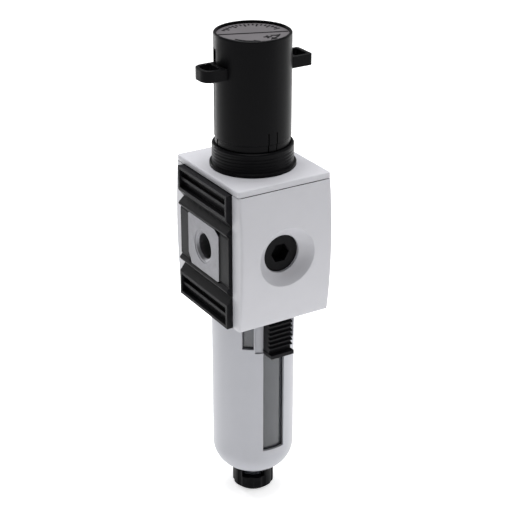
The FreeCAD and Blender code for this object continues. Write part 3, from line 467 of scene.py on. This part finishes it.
def bonnet():
    """Neck with its panel thread, the collar and the spring tower, as one lathe form."""
    edge = [math.radians(a) for a in steps(0, 90, 6)]
    round_radius = NECK_RADIUS - NECK_ROUND
    round_level = NECK_TOP - NECK_ROUND
    profile = [(13.6, -9.0), (SKIRT_RADIUS, -9.0), (SKIRT_RADIUS, -1.55)]
    profile += [(19.05, -1.5), (FLANGE_RADIUS, -1.4), (FLANGE_RADIUS, -0.35), (18.85, 0.0)]
    profile += [(18.1, 0.0), (NECK_RADIUS, 0.1)]
    profile += [(NECK_RADIUS, level) for level in steps(0.5, round_level, 70)]
    for a in edge[1:]:
        profile.append((round_radius + NECK_ROUND * math.cos(a), round_level + NECK_ROUND * math.sin(a)))
    profile += [(16.9, NECK_TOP), (16.7, 8.82), (16.65, 8.6), (16.65, 1.5)]
    profile += [(TOWER_RADIUS, 1.5), (TOWER_RADIUS, 37.2), (13.2, TOWER_TOP)]
    profile += [(SPINDLE_HOLE, TOWER_TOP), (SPINDLE_HOLE, 35.0), (12.2, 35.0), (12.2, -6.0)]
    points, faces = lathe_rows(profile, 192, thread_radius)
    return add_piece("threaded_bonnet", points, faces, "bonnet", "knob_black")


DISC_RADIUS = 15.6
DISC_TOP = 56.7
MARK_RISE = 0.16
MARK_SINK = 0.05
DISC_TURN = -21
ARROW_TRACK = 11.4
ARROW_HALF = 1.4
ARROW_LENGTH = 2.8
LINE_WIDTH = 0.9
SIGN_SPAN = 3.6


def flat_mark(points, faces, outline):
    """Adds a raised flat mark with upright sides, from an outline of (x, y) points."""
    base = len(points)
    count = len(outline)
    c, s = math.cos(math.radians(DISC_TURN)), math.sin(math.radians(DISC_TURN))
    outline = [(x * c - y * s, x * s + y * c) for x, y in outline]
    points += [(x, y, DISC_TOP - MARK_SINK) for x, y in outline]
    points += [(x, y, DISC_TOP + MARK_RISE) for x, y in outline]
    faces.append(tuple(range(base + count, base + 2 * count)))
    faces.append(tuple(reversed(range(base, base + count))))
    low, high = list(range(base, base + count)), list(range(base + count, base + 2 * count))
    faces += strip(low, high)


def band(radius, width, start, end, count=16):
    """Outline of a flat band along a circle between two angles in degrees."""
    angles = [math.radians(a) for a in steps(start, end, count)]
    far, near = radius + width / 2, radius - width / 2
    outer = [(far * math.cos(a), far * math.sin(a)) for a in angles]
    inner = [(near * math.cos(a), near * math.sin(a)) for a in reversed(angles)]
    return outer + inner


def bar(x, y, length, width, turn):
    """Outline of a straight bar about its middle."""
    c, s = math.cos(math.radians(turn)), math.sin(math.radians(turn))
    u0, v0 = length / 2, width / 2
    corners = [(-u0, -v0), (u0, -v0), (u0, v0), (-u0, v0)]
    return [(x + u * c - v * s, y + u * s + v * c) for u, v in corners]


def disc_marks():
    """Generic turning marks: a dividing bar, arrows, plus and minus, and a dial of short ticks."""
    points, faces = [], []
    flat_mark(points, faces, bar(0, 0.4, 2 * DISC_RADIUS - 0.6, LINE_WIDTH, 0))
    for start, end, tip in ((-140, -98, -98), (-46, -16, -46)):
        flat_mark(points, faces, band(ARROW_TRACK, 0.8, start, end))
        way = 1 if tip == end else -1
        a = math.radians(tip)
        x, y = ARROW_TRACK * math.cos(a), ARROW_TRACK * math.sin(a)
        ahead = (-math.sin(a) * way, math.cos(a) * way)
        side = (math.cos(a), math.sin(a))
        head = [
            (x - side[0] * ARROW_HALF, y - side[1] * ARROW_HALF),
            (x + side[0] * ARROW_HALF, y + side[1] * ARROW_HALF),
            (x + ahead[0] * ARROW_LENGTH, y + ahead[1] * ARROW_LENGTH),
        ]
        flat_mark(points, faces, head if way < 0 else list(reversed(head)))
    plus, minus = (5.2, -6.2), (8.6, -4.4)
    flat_mark(points, faces, bar(*minus, SIGN_SPAN, LINE_WIDTH, 0))
    flat_mark(points, faces, bar(*plus, SIGN_SPAN, LINE_WIDTH, 0))
    arm = (SIGN_SPAN - LINE_WIDTH) / 2
    for shift in (-(arm + LINE_WIDTH) / 2, (arm + LINE_WIDTH) / 2):
        flat_mark(points, faces, bar(plus[0], plus[1] + shift, LINE_WIDTH, arm, 0))
    for angle in range(24, 160, 8):
        a = math.radians(angle)
        long = 3.0 if angle % 24 == 0 else 1.6
        reach = 13.9 - long / 2
        flat_mark(points, faces, bar(reach * math.cos(a), reach * math.sin(a), long, 0.65, angle))
    mesh = bpy.data.meshes.new("disc_marks")
    mesh.from_pydata([Vector(p) * MM for p in points], [], faces)
    mesh.update()
    piece = bpy.data.objects.new("disc_marks", mesh)
    bpy.context.scene.collection.objects.link(piece)
    paint(piece, MATERIALS["knob_black"])
    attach(piece, "knob")
    return piece


cover("front", -1)
cover("rear", 1)
bonnet()
disc_marks()

# ---------------------------------------------------------------- studio


def aimed(made, place, target):
    """Puts a light or camera at a place and turns it towards a target."""
    made.location = place
    made.rotation_mode = "QUATERNION"
    made.rotation_quaternion = (target - place).to_track_quat("-Z", "Y")
    bpy.context.scene.collection.objects.link(made)
    return made


def around(azimuth, elevation, distance):
    """Point at a distance from the object's middle. Azimuth 0 is in front, 90 at the right."""
    a, e = math.radians(azimuth), math.radians(elevation)
    return centre + distance * Vector((math.sin(a) * math.cos(e), -math.cos(a) * math.cos(e), math.sin(e)))


def softbox(name, azimuth, elevation, distance, size, power):
    """Rectangular soft light; size is (width, height) in metres."""
    data = bpy.data.lights.new(name, "AREA")
    data.shape = "RECTANGLE"
    data.size, data.size_y = size
    data.energy = power
    return aimed(bpy.data.objects.new(name, data), around(azimuth, elevation, distance), centre)


FLOOR_GLOW = 0.62
ROOM_LIGHT = 0.3


def studio():
    """Flat white floor, even white surroundings and four softboxes."""
    floor_half = 3.0
    mesh = bpy.data.meshes.new("floor")
    corners = [(-1, -1), (1, -1), (1, 1), (-1, 1)]
    points = [(floor_half * x, floor_half * y, cad_low.z) for x, y in corners]
    mesh.from_pydata(points, [], [(0, 1, 2, 3)])
    floor = bpy.data.objects.new("floor", mesh)
    bpy.context.scene.collection.objects.link(floor)
    material, tree, shader = new_material("floor_white")
    dust = object_noise(tree, 0.05, 4.0)
    tree.links.new(spread(tree, dust, 0.75, 0.85), shader.inputs["Roughness"])
    shader.inputs["Base Color"].default_value = (0.9, 0.9, 0.9, 1)
    shader.inputs["Emission Color"].default_value = (1, 1, 1, 1)
    shader.inputs["Emission Strength"].default_value = FLOOR_GLOW
    paint(floor, material)
    world = bpy.data.worlds.new("white_room")
    bpy.context.scene.world = world
    world.use_nodes = True
    tree = world.node_tree
    seen = tree.nodes["Background"]
    seen.inputs["Color"].default_value = (1, 1, 1, 1)
    seen.inputs["Strength"].default_value = 1.0
    lit = node(tree, "ShaderNodeBackground", [("Color", (1, 1, 1, 1)), ("Strength", ROOM_LIGHT)])
    path = node(tree, "ShaderNodeLightPath")
    mix = node(tree, "ShaderNodeMixShader")
    tree.links.new(path.outputs["Is Camera Ray"], mix.inputs[0])
    tree.links.new(lit.outputs[0], mix.inputs[1])
    tree.links.new(seen.outputs[0], mix.inputs[2])
    tree.links.new(mix.outputs[0], tree.nodes["World Output"].inputs["Surface"])
    softbox("key", 52, 16, 0.9, (0.4, 0.7), 1.3)
    softbox("left_strip", -168, 12, 0.8, (0.08, 0.7), 2.0)
    softbox("right_strip", 105, 12, 0.8, (0.08, 0.7), 0.8)
    softbox("top", 149, 84, 0.9, (0.5, 0.5), 11.5)


def camera():
    """The reference view: from the front left, looking down on the lid and the knob."""
    azimuth, elevation, distance, lens = -31.2, 24.95, 0.6535, 102.2
    aim_offset = Vector((1.1, 0, 8.05)) * MM
    data = bpy.data.cameras.new("camera")
    data.lens = lens
    data.sensor_width = 36.0
    data.clip_start = 0.05
    place = around(azimuth, elevation, distance) + aim_offset
    made = aimed(bpy.data.objects.new("camera", data), place, centre + aim_offset)
    bpy.context.scene.camera = made


studio()
camera()
bpy.context.scene.view_settings.view_transform = "Standard"
